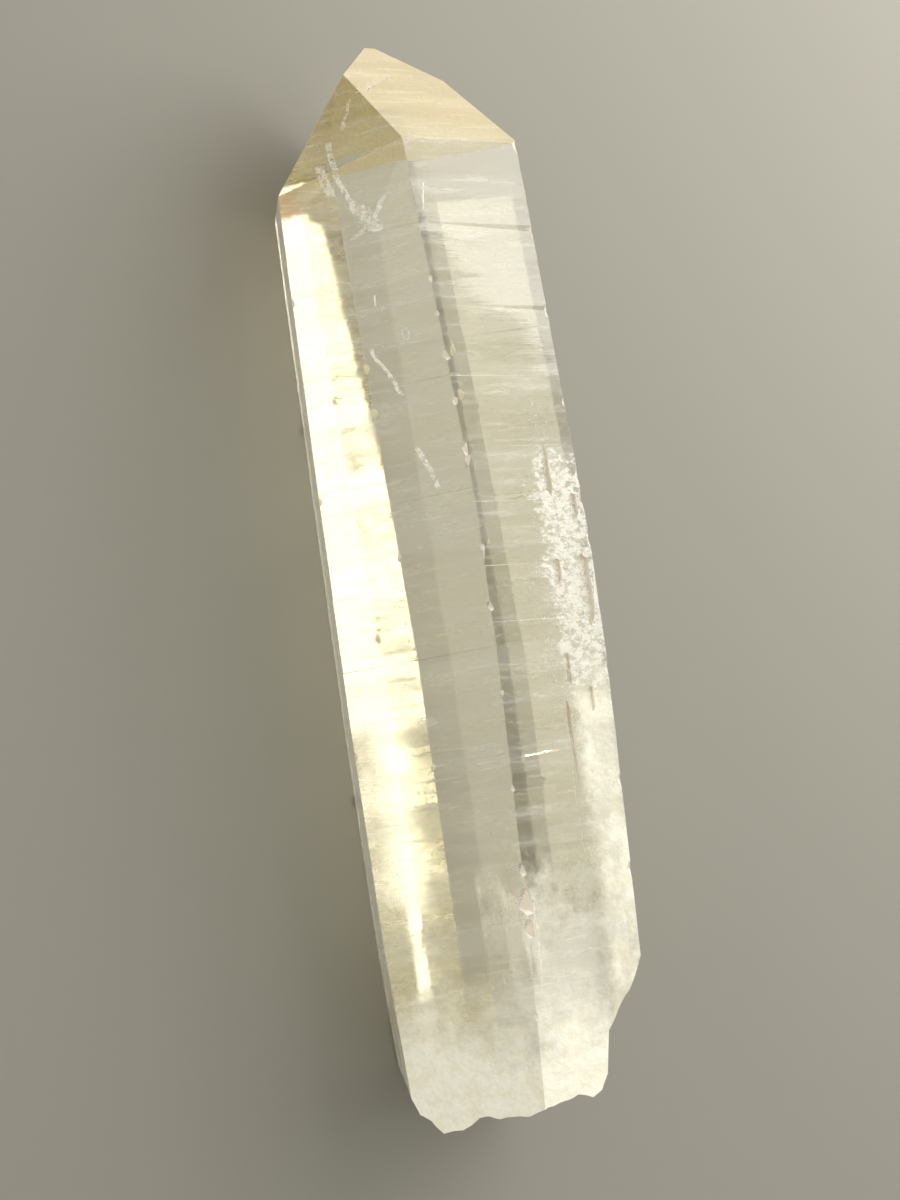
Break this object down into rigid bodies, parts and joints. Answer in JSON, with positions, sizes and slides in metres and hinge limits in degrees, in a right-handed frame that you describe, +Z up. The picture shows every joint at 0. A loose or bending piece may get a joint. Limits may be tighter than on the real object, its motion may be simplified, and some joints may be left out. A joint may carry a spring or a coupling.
{
  "type": "citrine point",
  "caption": "Natural quartz crystal with long prism faces, a faceted point and a broken milky base, lying on a flat side.",
  "frame": {"origin": "centre of the bounding box at the surface that the crystal lies on", "axes": "+Y along the crystal's axis towards its point, +Z up from the prism face that it lies on"},
  "size_m": [0.0174, 0.0694, 0.0147],
  "materials": {
    "citrine": "clear faintly yellow quartz, glossy faces, milky at the broken base"
  },
  "bodies": {
    "root": {"crystal": "citrine"}
  },
  "joints": []
}
